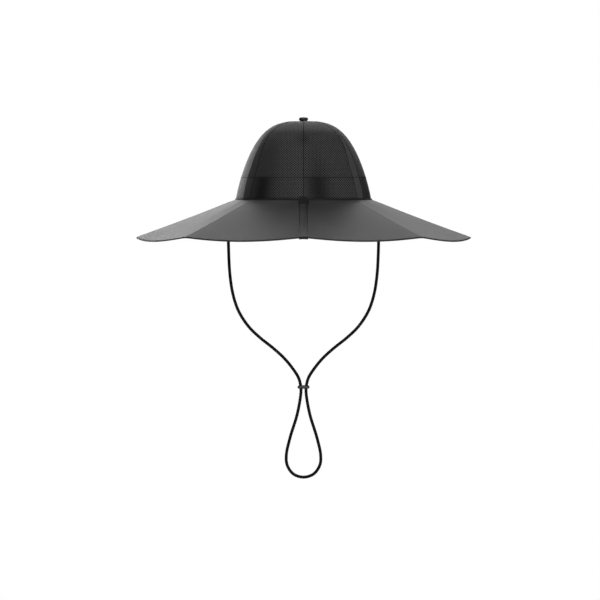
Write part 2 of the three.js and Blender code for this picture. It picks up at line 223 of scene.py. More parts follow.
def smooth_line(points, per_span):
    """A centripetal curve through the points, with per_span steps between each two of them."""
    points = np.asarray(points, float)
    ends = [2 * points[0] - points[1], *points, 2 * points[-1] - points[-2]]
    out = []
    for p0, p1, p2, p3 in zip(ends, ends[1:], ends[2:], ends[3:]):
        t01, t12, t23 = (math.sqrt(np.linalg.norm(b - a)) for a, b in ((p0, p1), (p1, p2), (p2, p3)))
        m1 = (p2 - p1) + t12 * ((p1 - p0) / t01 - (p2 - p0) / (t01 + t12))
        m2 = (p2 - p1) + t12 * ((p3 - p2) / t23 - (p3 - p1) / (t12 + t23))
        for s in np.arange(per_span) / per_span:
            leaving = (2 * s**3 - 3 * s**2 + 1) * p1 + (s**3 - 2 * s**2 + s) * m1
            out.append(leaving + (-2 * s**3 + 3 * s**2) * p2 + (s**3 - s**2) * m2)
    return np.array([*out, points[-1]])


def tube_rings(line, radius, sides):
    """Rings round a line in the plane of X and Z. radius may depend on the ring and the side."""
    along = unit(np.gradient(line, axis=0))
    side = unit(np.cross((0.0, 1.0, 0.0), along))
    normal = np.cross(along, side)
    turn = full_turn(sides)[:, None]
    swing = np.cos(turn) * side[:, None] + np.sin(turn) * normal[:, None]
    return line[:, None] + np.broadcast_to(radius, (len(line), sides))[..., None] * swing


# Meshes
def signed_volume(points, quads):
    a, b, c, d = np.moveaxis(points[quads], 1, 0)
    first = (a * np.cross(b, c)).sum()
    return (first + (a * np.cross(c, d)).sum()) / 6


def grid_faces(rows, columns, round_rows=False, last_to_first=False):
    """The quads between rows of points. Each row may be a ring, and the last may join the first."""
    row_spans = rows if last_to_first else rows - 1
    spans = columns if round_rows else columns - 1
    i, k = np.meshgrid(np.arange(row_spans), np.arange(spans), indexing="ij")
    here, after = i * columns, (i + 1) % rows * columns
    j = (k + 1) % columns
    return np.stack([here + k, here + j, after + j, after + k], -1).reshape(-1, 4)


def end_caps(rows, around):
    """The quads that close the first and the last of a row of rings."""
    m = np.arange(around // 2 - 1)
    first = np.stack([m + 1, m, around - 1 - m, around - 2 - m], -1)
    return np.concatenate([first, first[:, ::-1] + (rows - 1) * around])


def make_mesh(name, points, faces, uv=None, sharp_deg=35, values=None):
    """A new object, smooth but for edges sharper than sharp_deg, where that isn't 0. values are its
    attributes, a number for each point."""
    mesh = bpy.data.meshes.new(name)
    mesh.from_pydata(np.asarray(points).tolist(), [], [list(face) for face in faces])
    if uv is not None:
        layer = mesh.uv_layers.new(name="metres")
        layer.data.foreach_set("uv", np.asarray(uv, np.float32).ravel())
    for key, array in (values or {}).items():
        attribute = mesh.attributes.new(key, "FLOAT", "POINT")
        attribute.data.foreach_set("value", np.asarray(array, np.float32).ravel())
    mesh.validate()
    mesh.shade_smooth()
    if sharp_deg:
        mesh.set_sharp_from_angle(angle=math.radians(sharp_deg))
    return add_object(name, mesh)


def loft(name, sections, ring=False, sharp_deg=35, values=None):
    """A closed solid through closed cross-sections. Its UVs are metres round and along it."""
    sections = np.asarray(sections, float)
    rows, around = sections.shape[:2]
    points = sections.reshape(-1, 3)
    looped = np.concatenate([sections, sections[:, :1]], 1)
    if ring:
        looped = np.concatenate([looped, looped[:1]], 0)
    metres = np.stack([walk(looped, 1), walk(looped, 0)], -1)
    corners = [metres[:-1, :-1], metres[:-1, 1:], metres[1:, 1:], metres[1:, :-1]]
    uv = np.stack(corners, 2).reshape(-1, 4, 2)
    faces = grid_faces(rows, around, round_rows=True, last_to_first=ring)
    if not ring:
        caps = end_caps(rows, around)
        faces = np.concatenate([faces, caps])
        uv = np.concatenate([uv, points[caps][..., :2]])
    if signed_volume(points, faces) < 0:
        faces, uv = faces[:, ::-1], uv[:, ::-1]
    return make_mesh(name, points, faces, uv, sharp_deg, values)


def thicken(name, outer, inner, faces, flat_uv, sharp_deg=35, values=None):
    """A closed piece of cloth between an outer and an inner face that share one layout of cells.
    values are attributes for each point of the outer face, or of both."""
    points = np.concatenate([outer, inner]).reshape(-1, 3)
    flat_uv = flat_uv.reshape(-1, 2)
    count = len(flat_uv)
    faces = [tuple(face) for face in faces]
    edges = {edge for face in faces for edge in zip(face, face[1:] + face[:1])}
    rims = [(b, a, a + count, b + count) for a, b in sorted(edges) if (b, a) not in edges]
    backs = [tuple(corner + count for corner in reversed(face)) for face in faces]
    both = faces + backs + rims
    uv = np.array([flat_uv[corner % count] for face in both for corner in face])
    full = {key: np.resize(array, 2 * count) for key, array in (values or {}).items()}
    return make_mesh(name, points, both, uv, sharp_deg, full)


# Materials
def grey(value):
    return (value, value, value, 1.0)


BLACK = grey(0.0)
WHITE = grey(1.0)


def node(tree, kind, inputs=None, **settings):
    made = tree.nodes.new(kind)
    for key, value in settings.items():
        setattr(made, key, value)
    for key, value in (inputs or {}).items():
        if isinstance(value, bpy.types.NodeSocket):
            tree.links.new(value, made.inputs[key])
        else:
            made.inputs[key].default_value = value
    return made


def math_node(tree, operation, *values):
    return node(tree, "ShaderNodeMath", dict(enumerate(values)), operation=operation).outputs[0]


def blend(tree, factor, first, second):
    return node(tree, "ShaderNodeMix", {0: factor, 6: first, 7: second}, data_type="RGBA").outputs[2]


def noise(tree, scale, detail):
    space = node(tree, "ShaderNodeTexCoord").outputs["Object"]
    inputs = {"Vector": space, "Scale": scale, "Detail": detail}
    return node(tree, "ShaderNodeTexNoise", inputs).outputs["Fac"]


def marked(tree, name):
    """How far a mesh's attribute marks a place, from 0 to 1."""
    return node(tree, "ShaderNodeAttribute", attribute_name=name).outputs["Fac"]


def wave(tree, axis, period):
    """A sine along one of the metric UVs."""
    place = node(tree, "ShaderNodeUVMap", uv_map="metres").outputs[0]
    along = node(tree, "ShaderNodeSeparateXYZ", {0: place}).outputs[axis]
    return math_node(tree, "SINE", math_node(tree, "MULTIPLY", along, math.tau / period))


def plain_weave(thread):
    """The relief of a plain weave, from 0 to 1, whose threads are that wide."""

    def relief(tree):
        both = math_node(tree, "MULTIPLY", wave(tree, 0, 2 * thread), wave(tree, 1, 2 * thread))
        return math_node(tree, "MULTIPLY_ADD", both, 0.5, 0.5)

    return relief


def ribs(pitch, axis):
    """The relief of ribs, from 0 to 1, that follow each other along one of the metric UVs."""
    return lambda tree: math_node(tree, "MULTIPLY_ADD", wave(tree, axis, pitch), 0.5, 0.5)


def blank_material(name, roughness, specular):
    material = bpy.data.materials.new(name)
    material.use_nodes = True
    tree = material.node_tree
    shader = tree.nodes["Principled BSDF"]
    shader.inputs["Roughness"].default_value = roughness
    shader.inputs["Specular IOR Level"].default_value = specular
    return material, tree, shader


# What all the cloths share: how much painted shade darkens them between threads, how pale a painted
# highlight and how dark a painted shade gets, how wide the soft patches are, and what the fine fibres add
BETWEEN_THREADS = 0.45
HIGHLIGHT_GAIN = 1.6
HIGHLIGHT_LIFT = 0.01
SHADED_GREY = 0.001
PATCH_SIZE = 30 * MM
FIBRE_SCALE = 900.0
FIBRE_DEPTH = 0.3
FIBRE_ROUGHNESS = 0.06
RELIEF_STRENGTH = 0.7
SHEEN_ROUGHNESS = 0.3


def cloth_material(name, albedo, roughness, relief, depth, specular=0.5, patch=0.12, sheen=0.0, marks=""):
    """Grey cloth whose colour shifts in soft patches and takes a painted shade between its threads.
    relief(tree) gives the threads' relief and depth is how deep it is. marks names the attributes that
    change the colour: fold adds a painted highlight, shade a painted shade, and the last one a flat
    painted shade that fills the net's holes."""
    material, tree, shader = blank_material(name, roughness, specular)
    shader.inputs["Sheen Weight"].default_value = sheen
    shader.inputs["Sheen Roughness"].default_value = SHEEN_ROUGHNESS
    patches = noise(tree, 1 / PATCH_SIZE, 4.0)
    fibres = noise(tree, FIBRE_SCALE, 3.0)
    threads = relief(tree)
    base = blend(tree, patches, grey(albedo * (1 - patch)), grey(albedo * (1 + patch)))
    # A painted shade between the threads
    colour = blend(tree, threads, blend(tree, BETWEEN_THREADS, base, BLACK), base)
    # A painted highlight
    if "fold" in marks:
        highlighted = grey(HIGHLIGHT_GAIN * albedo + HIGHLIGHT_LIFT)
        colour = blend(tree, marked(tree, "fold"), colour, highlighted)
    if "shade" in marks:
        shade = marked(tree, "shade")
        colour = blend(tree, shade, colour, grey(SHADED_GREY))
        tree.links.new(blend(tree, shade, WHITE, BLACK), shader.inputs["Sheen Tint"])
    # A flat painted shade that fills the net's holes
    if "shadow_fill" in marks:
        colour = blend(tree, marked(tree, "shadow_fill"), colour, grey(SHADOW_FILL_GREY))
    tree.links.new(colour, shader.inputs["Base Color"])
    smooth, rough = roughness - FIBRE_ROUGHNESS, roughness + FIBRE_ROUGHNESS
    shine = node(tree, "ShaderNodeMapRange", {"Value": fibres, "To Min": smooth, "To Max": rough})
    tree.links.new(shine.outputs[0], shader.inputs["Roughness"])
    height = math_node(tree, "ADD", threads, math_node(tree, "MULTIPLY", fibres, FIBRE_DEPTH))
    bump = {"Height": height, "Distance": depth, "Strength": RELIEF_STRENGTH}
    tree.links.new(node(tree, "ShaderNodeBump", bump).outputs[0], shader.inputs["Normal"])
    return material


def dress(piece, material, slot, *nodes):
    """Gives a piece its material and body, and hides the nodes that it stands for. slot is not used."""
    piece.data.materials.clear()
    piece.data.materials.append(MATERIALS[material])
    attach(piece, "root")
    if nodes:
        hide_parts(*nodes)
    return piece


NET_WEAVE = plain_weave(0.35 * MM)
THIN_WEAVE = plain_weave(0.3 * MM)
BRIM_WEAVE = plain_weave(0.45 * MM)
MATERIALS = {
    "net": cloth_material(
        "net_yarn", 0.091, 0.6, NET_WEAVE, 0.03 * MM, 0.3, sheen=0.17, marks="fold shade shadow_fill"
    ),
    "backing": cloth_material("net_backing", 0.006, 0.8, THIN_WEAVE, 0.03 * MM, 0.2, marks="shade shadow_fill"),
    "brim": cloth_material("brim_cover", 0.045, 0.5, BRIM_WEAVE, 0.03 * MM, patch=0.06, marks="fold shade"),
    "tape": cloth_material("seam_tape", 0.02, 0.6, ribs(0.7 * MM, 0), 0.08 * MM),
    "seam": cloth_material("seam_thread", 0.007, 0.8, ribs(0.6 * MM, 1), 0.05 * MM, 0.15),
    "button": cloth_material("button_cloth", 0.024, 0.5, THIN_WEAVE, 0.03 * MM),
    "sweatband": cloth_material("sweatband_cloth", 0.015, 0.8, ribs(1.1 * MM, 1), 0.1 * MM),
    "piping": cloth_material("piping_rib", 0.02, 0.6, ribs(0.8 * MM, 1), 0.08 * MM, 0.3),
    "hem": cloth_material("hem_rib", 0.022, 0.62, ribs(0.8 * MM, 1), 0.05 * MM, 0.4),
    "patch": cloth_material("patch_cloth", 0.01, 0.75, plain_weave(0.4 * MM), 0.05 * MM, 0.25),
    "strip": cloth_material("strip_webbing", 0.052, 0.42, ribs(1.0 * MM, 1), 0.06 * MM, marks="shade"),
    "cord": cloth_material("cord_strand", 0.006, 0.85, ribs(0.5 * MM, 0), 0.05 * MM, 0.15),
    "slider": cloth_material("slider_plastic", 0.03, 0.45, ribs(9 * MM, 1), 0.0, patch=0.05),
}


# The chin cord, from its right anchor down to the bottom of its loop. Its other half mirrors this one
CORD_HALF_ROUTE_MM = [
    (99.0, -20.3), (99.0, -34.0), (98.8, -58.0), (97.0, -97.4), (93.2, -123.7),
    (87.2, -143.4), (80.3, -156.6), (70.5, -169.8), (56.7, -182.9), (40.1, -196.1),
    (25.7, -209.2), (14.7, -222.4), (6.4, -235.6), (3.55, -247.4), (3.5, -256.0),
    (8.2, -282.9), (17.8, -314.5), (22.6, -337.0), (21.5, -350.1), (13.2, -361.9),
    (0.0, -366.0),
]
CORD_DIAMETER = 3.5 * MM
CORD_TWIST_PITCH = 11 * MM
CORD_RING_STEP = 0.9 * MM
CORD_SIDES = 24

# The strands' outline in shares of the cord's radius: between two strands, and how far each stands
# out from there
CORD_STRANDS = 3
STRAND_VALLEY = 1.06
STRAND_CREST = 0.13
STRAND_POWER = 0.7


def make_cord():
    """A cord of three strands twisted about each other, so its outline has three lobes that turn."""
    other = [(-x, z) for x, z in reversed(CORD_HALF_ROUTE_MM[:-1])]
    points = [(x, 0, z) for x, z in [*CORD_HALF_ROUTE_MM, *other]]
    fine = smooth_line(np.array(points) * MM, 40)
    along = walk(fine, 0)
    rings = round(along[-1] / CORD_RING_STEP)
    line = points_at(np.linspace(0, along[-1], rings + 1), along, fine)
    phase = math.tau * walk(line, 0)[:, None] / CORD_TWIST_PITCH
    lobes = np.abs(np.cos(CORD_STRANDS * (full_turn(CORD_SIDES) - phase) / 2))
    radius = CORD_DIAMETER / 2 * (STRAND_VALLEY + STRAND_CREST * lobes**STRAND_POWER)
    piece = loft("chin_cord_line", tube_rings(line, radius, CORD_SIDES), sharp_deg=0)
    return dress(piece, "cord", "cord", "chin_cord"), line


chin_cord, cord_line = make_cord()


# The slider: a flat bar with rounded ends and a bevelled hole for each run of the cord, level with
# one of the route's points
SLIDER_X = CORD_HALF_ROUTE_MM[13][0] * MM
SLIDER_Z = CORD_HALF_ROUTE_MM[13][1] * MM
SLIDER_LENGTH = 16 * MM
SLIDER_DEPTH = 7.8 * MM
SLIDER_HEIGHT = 4.8 * MM
SLIDER_HOLE_RADIUS = 2.55 * MM
SLIDER_RIM = 0.35 * MM
SLIDER_STEPS = 24
SLIDER_SIDES = 32
SLIDER_POWER = 0.75
SLIDER_SHARP_DEG = 50


def cut_hole(piece, x):
    """Cuts an upright round hole through the slider."""
    line = np.array([(x, 0, SLIDER_Z + z * SLIDER_HEIGHT) for z in (-1, 0, 1)])
    rings = tube_rings(line, SLIDER_HOLE_RADIUS, SLIDER_SIDES)
    drill = loft("drill", rings, sharp_deg=SLIDER_SHARP_DEG)
    cut = piece.modifiers.new("hole", "BOOLEAN")
    cut.object = drill
    cut.operation = "DIFFERENCE"
    cut.solver = "EXACT"
    bpy.context.view_layer.update()
    graph = bpy.context.evaluated_depsgraph_get()
    carved = bpy.data.meshes.new_from_object(piece.evaluated_get(graph))
    piece.modifiers.clear()
    piece.data = carved
    bpy.data.objects.remove(drill)


def make_slider():
    x = np.sin(np.linspace(-1, 1, SLIDER_STEPS + 1) * math.pi / 2)[:, None] * SLIDER_LENGTH / 2
    end = SLIDER_HEIGHT / 2
    beyond = np.clip((np.abs(x) - (SLIDER_LENGTH / 2 - end)) / end, 0, 1)
    scale = np.sqrt(np.maximum(1 - beyond**2, 0.004))
    ring_y, ring_z = rounded_square(SLIDER_SIDES, SLIDER_POWER)
    y = scale * (ring_y * SLIDER_DEPTH / 2)
    z = scale * (ring_z * SLIDER_HEIGHT / 2) + SLIDER_Z
    sections = np.stack(np.broadcast_arrays(x, y, z), -1)
    piece = loft("slider_bar", sections, sharp_deg=SLIDER_SHARP_DEG)
    for side in (-1, 1):
        cut_hole(piece, side * SLIDER_X)
    rim = piece.modifiers.new("rim", "BEVEL")
    rim.width = SLIDER_RIM
    rim.segments = 2
    rim.limit_method = "ANGLE"
    rim.angle_limit = math.radians(SLIDER_SHARP_DEG)
    return dress(piece, "slider", "slider", "cord_slider")


slider = make_slider()


# The crown's shape
def crown_half_width(height):
    rest = 1 - (height / CROWN_HEIGHT) ** CROWN_LEAN_POWER
    return CROWN_HALF_WIDTH * np.maximum(rest, 0) ** (1 / CROWN_SHOULDER_POWER)


def gore_spread(angle):
    """How far out a gore lies: 1 at its seams, and less between them, where it is flatter."""
    turns = angle / GORE_ANGLE
    from_middle = 2 * (turns - np.floor(turns)) - 1
    return (1 - GORE_FLATNESS * (1 - from_middle**2)) / (1 - GORE_FLATNESS)


def crown_point(angle, height, depth=0.0):
    """A point of the crown, some depth below its outer face. The angle turns from the front to +X."""
    angle, height, depth = np.broadcast_arrays(angle, height, depth)
    half_width = crown_half_width(height)
    reach = half_width * gore_spread(angle)
    outward = CROWN_SHOULDER_POWER * half_width ** (CROWN_SHOULDER_POWER - 1)
    steepness = outward / CROWN_HALF_WIDTH**CROWN_SHOULDER_POWER
    upward = CROWN_LEAN_POWER * height ** (CROWN_LEAN_POWER - 1) / CROWN_HEIGHT**CROWN_LEAN_POWER
    sine, cosine = np.sin(angle), np.cos(angle)
    normal = unit(np.stack([steepness * sine, -steepness * cosine / LENGTH_RATIO, upward], -1))
    outer = np.stack([reach * sine, -reach * LENGTH_RATIO * cosine, height], -1)
    return outer - depth[..., None] * normal


def crown_heights(top_half_width, steps=400):
    """Heights from the foot to where the crown is that wide, close together near the top."""
    low = np.linspace(CROWN_FOOT, 0.8 * CROWN_HEIGHT, steps)
    half_widths = np.linspace(crown_half_width(low[-1]), top_half_width, steps)[1:]
    rest = 1 - (half_widths / CROWN_HALF_WIDTH) ** CROWN_SHOULDER_POWER
    return np.concatenate([low, CROWN_HEIGHT * rest ** (1 / CROWN_LEAN_POWER)])


def arc_radius(angle, height):
    """How far one goes across the crown for each radian that the angle turns."""
    stretch = math.hypot(math.cos(angle), LENGTH_RATIO * math.sin(angle))
    return crown_half_width(height) * stretch


class Gore:
    """One gore laid out flat: across from its middle line, and up along it."""

    def __init__(self, index):
        self.index = index
        self.name = GORE_NAMES[index]
        self.middle = (index + 0.5) * GORE_ANGLE
        self.heights = crown_heights(NET_TOP_HALF_WIDTH)
        self.climb = walk(crown_point(self.middle, self.heights), 0)
        self.length = self.climb[-1]

    def height(self, up):
        return np.interp(up, self.climb, self.heights)

    def half_width(self, up, margin):
        return arc_radius(self.middle, self.height(up)) * GORE_ANGLE / 2 - margin

    def place(self, flat):
        """The crown's angles and heights at places on the flat gore."""
        height = self.height(flat[:, 1])
        return self.middle + flat[:, 0] / arc_radius(self.middle, height), height

    def area(self, margin):
        up = np.linspace(0, self.length, 200)
        return float(np.mean(2 * self.half_width(up, margin)) * self.length)


def band_width(height):
    return np.interp(height, BAND_HEIGHTS, (BAND_WIDTH, BAND_TOP_WIDTH))


# Each gore starts at the seam with its own number. Its net's columns run beside that seam where the
# side is -1, beside the next seam where it is 1, and straight up where it is 0
GORE_NAMES = ["front_right", "right", "back_right", "back_left", "left", "front_left"]
NET_GRAIN_SIDES = [-1, 0, 1, -1, 0, 1]

# The sides of each seam with the close cloth, 1 towards the gore with its number, and half of the
# width of its raised thread, narrow at the front and beside the front left gore's flat painted shade
SEAM_NAMES = ["front", "front_right", "back_right", "back", "back_left", "front_left"]
SEAM_BAND_SIDES = [[], [-1], [-1], [-1, 1], [1], [1]]
WELT_HALF_WIDTHS = [0.3 * MM, 0.7 * MM, 0.7 * MM, 0.7 * MM, 0.7 * MM, 0.35 * MM]


def gore_shade(angle, height):
    """How much painted shade darkens the cloth at a point of the crown, from 0 to 1."""
    turned = np.mod(angle, math.tau)
    gore = np.minimum(turned // GORE_ANGLE, GORE_COUNT - 1).astype(int)
    past = turned - gore * GORE_ANGLE - SHADE_TURNS[gore]
    band = np.exp(-((past / SHADE_SPREADS[gore]) ** 2))
    levels = (SWEATBAND_SEAM_HEIGHT - MM, SWEATBAND_SEAM_HEIGHT + MM, SHADE_TOP)
    stretch = band * np.interp(height, levels, (SHADE_LOW, SHADE_HIGH, 0))
    off_front = (turned + math.pi) % math.tau - math.pi
    below_button = ((height - SPOT_HEIGHT) / SPOT_REACH) ** 2 + (off_front / SPOT_SPREAD) ** 2
    return 1 - (1 - stretch) * (1 - SPOT_SHADE * np.exp(-below_button))


def top_highlight(height):
    """How much a painted highlight makes the net paler at a height of the crown, from 0 to 1."""
    return TOP_HIGHLIGHT * np.interp(height, TOP_HIGHLIGHT_HEIGHTS, (0, 1))


def gore_shadow_fill(angle, height):
    """How far the flat painted shade fills the net at a point of the crown, from 0 to 1."""
    past = np.mod(angle, math.tau) - (GORE_COUNT - 1) * GORE_ANGLE
    turned = np.interp(past, (-1e-6, 0, *SHADOW_FILL_TURNS), (0, 1, 1, 0))
    return turned * np.interp(height, SHADOW_FILL_HEIGHTS, (0, 1, 1, 0))


# How far inside a seam the middle of a cell with a hole is at least, and how far outside that of a
# cell whose inner side is filled is at most, in half cells
HOLE_ROOM = 0.3
FILLED_ROOM = 0.65


def net_layout(gore):
    """The net on the flat gore: its points, its faces and its close cloth's darkness at each point."""
    flat, faces, close_shades, knots = [], [], {}, {}
    rear = 1 if gore.index < GORE_COUNT / 2 else -1
    grain = NET_GRAIN_SIDES[gore.index]

    def limit_at(up):
        return float(gore.half_width(up, SEAM_MARGIN))

    foot_limit = limit_at(0)

    def place(i, j):
        """Where the net's crossing i, j lies. Its columns run beside the front or the back seam."""
        up = min(max((j + 1) * NET_HALF_UP, 0.0), gore.length)
        return i * NET_HALF_ACROSS + grain * (limit_at(up) - foot_limit), up

    def close_shade(across, up, limit):
        """How much painted shade darkens the cloth where it has no holes, and None where it has them."""
        height = float(gore.height(up))
        if limit - rear * across < band_width(height):
            return CLOSE_CLOTH_SHADES[gore.index]
        beside_front_seam = gore.index == 0 and limit + across < FRONT_TAB_WIDTH
        return FRONT_TAB_SHADE if beside_front_seam and height < SWEATBAND_SEAM_HEIGHT else None

    def knot(i, j):
        if (i, j) not in knots:
            knots[i, j] = len(flat)
            across, up = place(i, j)
            limit = limit_at(up)
            flat.append((max(-limit, min(limit, across)), up))
        return knots[i, j]

    for j in range(int(gore.length / NET_HALF_UP) - 1):
        limit = limit_at((j + 1) * NET_HALF_UP)
        middle_column = -round(place(0, j)[0] / NET_HALF_ACROSS)
        reach = int(limit / NET_HALF_ACROSS) + 2
        for i in range(middle_column - reach, middle_column + reach + 1):
            across, up = place(i, j)
            outside = abs(across) - limit
            if (i + j) % 2 or outside >= NET_HALF_ACROSS:
                continue
            corners = [knot(i + 1, j), knot(i, j + 1), knot(i - 1, j), knot(i, j - 1)]
            close = close_shade(across, up, limit)
            if close is not None:
                faces.append(tuple(corners))
                close_shades.update(dict.fromkeys(corners, close))
            elif outside < -HOLE_ROOM * NET_HALF_ACROSS:
                middle = np.mean([flat[k] for k in corners], axis=0)
                start = len(flat)
                for k in corners:
                    flat.append(tuple(middle + NET_HOLE_SHARE * (np.array(flat[k]) - middle)))
                for k in range(4):
                    after = (k + 1) % 4
                    faces.append((corners[k], corners[after], start + after, start + k))
            elif outside < FILLED_ROOM * NET_HALF_ACROSS:
                right, top, left, bottom = corners
                faces.append((bottom, top, left) if across > 0 else (top, bottom, right))
    used = sorted({corner for face in faces for corner in face})
    order = {corner: k for k, corner in enumerate(used)}
    flat = np.array([flat[k] for k in used])
    close = np.array([close_shades.get(k, 0.0) for k in used])
    return flat, [tuple(order[c] for c in face) for face in faces], close


def make_gore_cloth(kind, gore, flat, faces, depths, marks):
    """A gore's net or backing, made as a thin sheet. marks are its attributes."""
    outer, inner = (crown_point(*gore.place(flat), depth) for depth in depths)
    piece = thicken(f"{kind}_{gore.name}", outer, inner, faces, flat, sharp_deg=40, values=marks)
    dress(piece, kind, "crown_mesh", f"crown_gore_{gore.name}")
    2 * float(gore.half_width(0, 0))


def make_net(gore):
    flat, faces, close = net_layout(gore)
    angle, height = gore.place(flat)
    # Painted shade on the gore's darker stretch, on its close cloth and on its inside face
    shade = 1 - (1 - gore_shade(angle, height)) * (1 - close)
    marks = {
        "shade": np.concatenate([shade, np.full(len(shade), NET_INSIDE_SHADE)]),
        # The front left gore's flat painted shade
        "shadow_fill": gore_shadow_fill(angle, height),
        # A painted highlight towards the top, carried by the fold attribute
        "fold": top_highlight(height),
    }
    area = gore.area(SEAM_MARGIN) * (1 - NET_HOLE_SHARE**2)
    make_gore_cloth("net", gore, flat, faces, (0.0, NET_STRAND_WALL), marks)


def make_backing(gore):
    """The close dark cloth behind the net, which nothing shines through."""
    up = np.linspace(0, gore.length, 48)[:, None]
    across = np.linspace(-1, 1, 20) * gore.half_width(up, BACKING_MARGIN)
    faces = grid_faces(*across.shape)
    flat = np.stack(np.broadcast_arrays(across, up), -1).reshape(-1, 2)
    place = gore.place(flat)
    # Painted shade, and the front left gore's flat painted shade
    marks = {"shade": gore_shade(*place), "shadow_fill": gore_shadow_fill(*place)}
    area = gore.area(BACKING_MARGIN)
    make_gore_cloth("backing", gore, flat, faces, (BACKING_DEPTH, MESH_WALL), marks)


# Rows of stitches in millimetres: from one stitch to the next, the length of one and its thickness
SEAM_STITCHES_MM = (3.2, 2.3, 0.7)
SWEATBAND_STITCHES_MM = (3.2, 2.4, 0.65)
HEM_STITCHES_MM = (3.4, 2.4, 0.22)

# The rings of one stitch: how far along it they lie, and their girth and height in its thicknesses
STITCH_RINGS = [(0, 0.35, -0.45), (0.12, 0.85, 0.0), (0.5, 1.0, 0.25), (0.88, 0.85, 0.0), (1, 0.35, -0.45)]
STITCH_SIDES = 6
STITCH_FLATNESS = 0.7


def stitch_row(line, outwards, sizes_mm):
    """Starts, ends and outward directions of stitches that follow a line."""
    pitch, length = sizes_mm[0] * MM, sizes_mm[1] * MM
    along = walk(line, 0)
    count = int(along[-1] / pitch)
    begin = (np.arange(count) + 0.5) * along[-1] / count - length / 2
    ends = points_at(begin + length, along, line)
    return points_at(begin, along, line), ends, unit(points_at(begin + length / 2, along, outwards))


def make_stitches(name, lines, sizes_mm, material, slot, first_out=0.0):
    """Stitches along lines, each a short rounded thread that dips in at both ends. At the front the
    first one on either side starts at first_out."""
    rows = [stitch_row(line, out, sizes_mm) for line, out in lines]
    starts, ends, outwards = (np.concatenate(part) for part in zip(*rows))
    kept = (np.abs(starts[:, 0]) >= first_out) | (starts[:, 1] > 0)
    starts, ends, outwards = starts[kept], ends[kept], outwards[kept]
    thickness = sizes_mm[2] * MM
    shares, girths, lifts = np.array(STITCH_RINGS).T[..., None]
    turn = full_turn(STITCH_SIDES)[:, None]
    side = unit(np.cross(outwards, unit(ends - starts)))
    ring = np.cos(turn) * side[:, None] + STITCH_FLATNESS * np.sin(turn) * outwards[:, None]
    line = starts[:, None] + shares * (ends - starts)[:, None] + lifts * thickness * outwards[:, None]
    points = line[:, :, None] + girths[..., None] * thickness / 2 * ring[:, None]
    sizes = (len(STITCH_RINGS), STITCH_SIDES)
    one = np.concatenate([grid_faces(*sizes, round_rows=True), end_caps(*sizes)])
    faces = (np.arange(len(starts))[:, None, None] * math.prod(sizes) + one).reshape(-1, 4)
    points = points.reshape(-1, 3)
    if signed_volume(points, faces) < 0:
        faces = faces[:, ::-1]
    piece = make_mesh(name, points, faces, points[faces][..., [0, 2]], sharp_deg=0)
    dress(piece, material, slot)


def crown_line(angle, height, depth=0.0):
    """A line on the crown and its outward directions."""
    line = crown_point(angle, height, depth)
    return line, unit(line - crown_point(angle, height, depth + MM))


def make_welt(name, line, out, half_width, half_height):
    """A thin raised line of thread along the cloth."""
    side = np.cross(unit(np.gradient(line, axis=0)), out)
    turn = full_turn(8)[:, None]
    swing = half_width * np.cos(turn) * side[:, None]
    lift = half_height * np.sin(turn) * out[:, None]
    piece = loft(name, line[:, None] + swing + lift, sharp_deg=0)
    dress(piece, "seam", "seam_tape")


# Where the seams' raised threads and the edges of their close cloth end, as the crown's half width.
# The tapes end at a height, no wider there than a turn to each side
WELT_TOP_HALF_WIDTH = 5 * MM
EDGE_TOP_HALF_WIDTH = 16 * MM
TAPE_TOP = 102.1 * MM
TAPE_TOP_TURN = 0.42
TAPE_COLUMNS = 7
WELT_DEPTH = 0.15 * MM
WELT_HALF_HEIGHT = 0.3 * MM
EDGE_HALF_WIDTH = 0.6 * MM
EDGE_HALF_HEIGHT = 0.2 * MM


def make_tape(index):
    """The tape on the inside of a seam."""
    angle = index * GORE_ANGLE
    heights = crown_heights(crown_half_width(TAPE_TOP), 60)[:, None]
    shares = np.linspace(-1, 1, TAPE_COLUMNS)
    half_turns = np.minimum(TAPE_WIDTH / 2 / arc_radius(angle, heights), TAPE_TOP_TURN)
    angles = angle + half_turns * shares
    outer = crown_point(angles, heights, TAPE_DEPTH)
    inner = crown_point(angles, heights, TAPE_DEPTH + TAPE_WALL)
    up = walk(outer[:, TAPE_COLUMNS // 2], 0)[:, None]
    flat = np.stack(np.broadcast_arrays(shares * TAPE_WIDTH / 2, up), -1)
    name = SEAM_NAMES[index]
    faces = grid_faces(len(heights), TAPE_COLUMNS)
    piece = thicken(f"tape_{name}", outer, inner, faces, flat)
    dress(piece, "tape", "seam_tape", f"seam_tape_{name}")


def make_seam(index):
    """The raised seam between two gores, the tape inside it and the stitches beside it."""
    angle = index * GORE_ANGLE
    name = SEAM_NAMES[index]
    line, out = crown_line(angle, crown_heights(WELT_TOP_HALF_WIDTH, 60), WELT_DEPTH)
    make_welt(f"seam_welt_{name}", line, out, WELT_HALF_WIDTHS[index], WELT_HALF_HEIGHT)
    make_tape(index)
    lines = []
    heights = crown_heights(EDGE_TOP_HALF_WIDTH, 80)
    for side in SEAM_BAND_SIDES[index]:
        beside = side * band_width(heights) / arc_radius(angle, heights)
        line, out = crown_line(angle + beside, heights)
        side_name = "a" if side < 0 else "b"
        make_welt(f"band_edge_{name}_{side_name}", line, out, EDGE_HALF_WIDTH, EDGE_HALF_HEIGHT)
        lines.append((line, out))
    if lines:
        make_stitches(f"stitches_{name}", lines, SEAM_STITCHES_MM, "seam", "seam_tape")


def make_sweatband_seam():
    """The stitches through the net that hold the sweatband's top edge."""
    line, out = crown_line(np.linspace(0, math.tau, 361), SWEATBAND_SEAM_HEIGHT)
    make_welt("sweatband_seam", line, out, 0.3 * MM, 0.1 * MM)
    make_stitches("stitches_sweatband", [(line, out)], SWEATBAND_STITCHES_MM, "seam", "seam_tape")


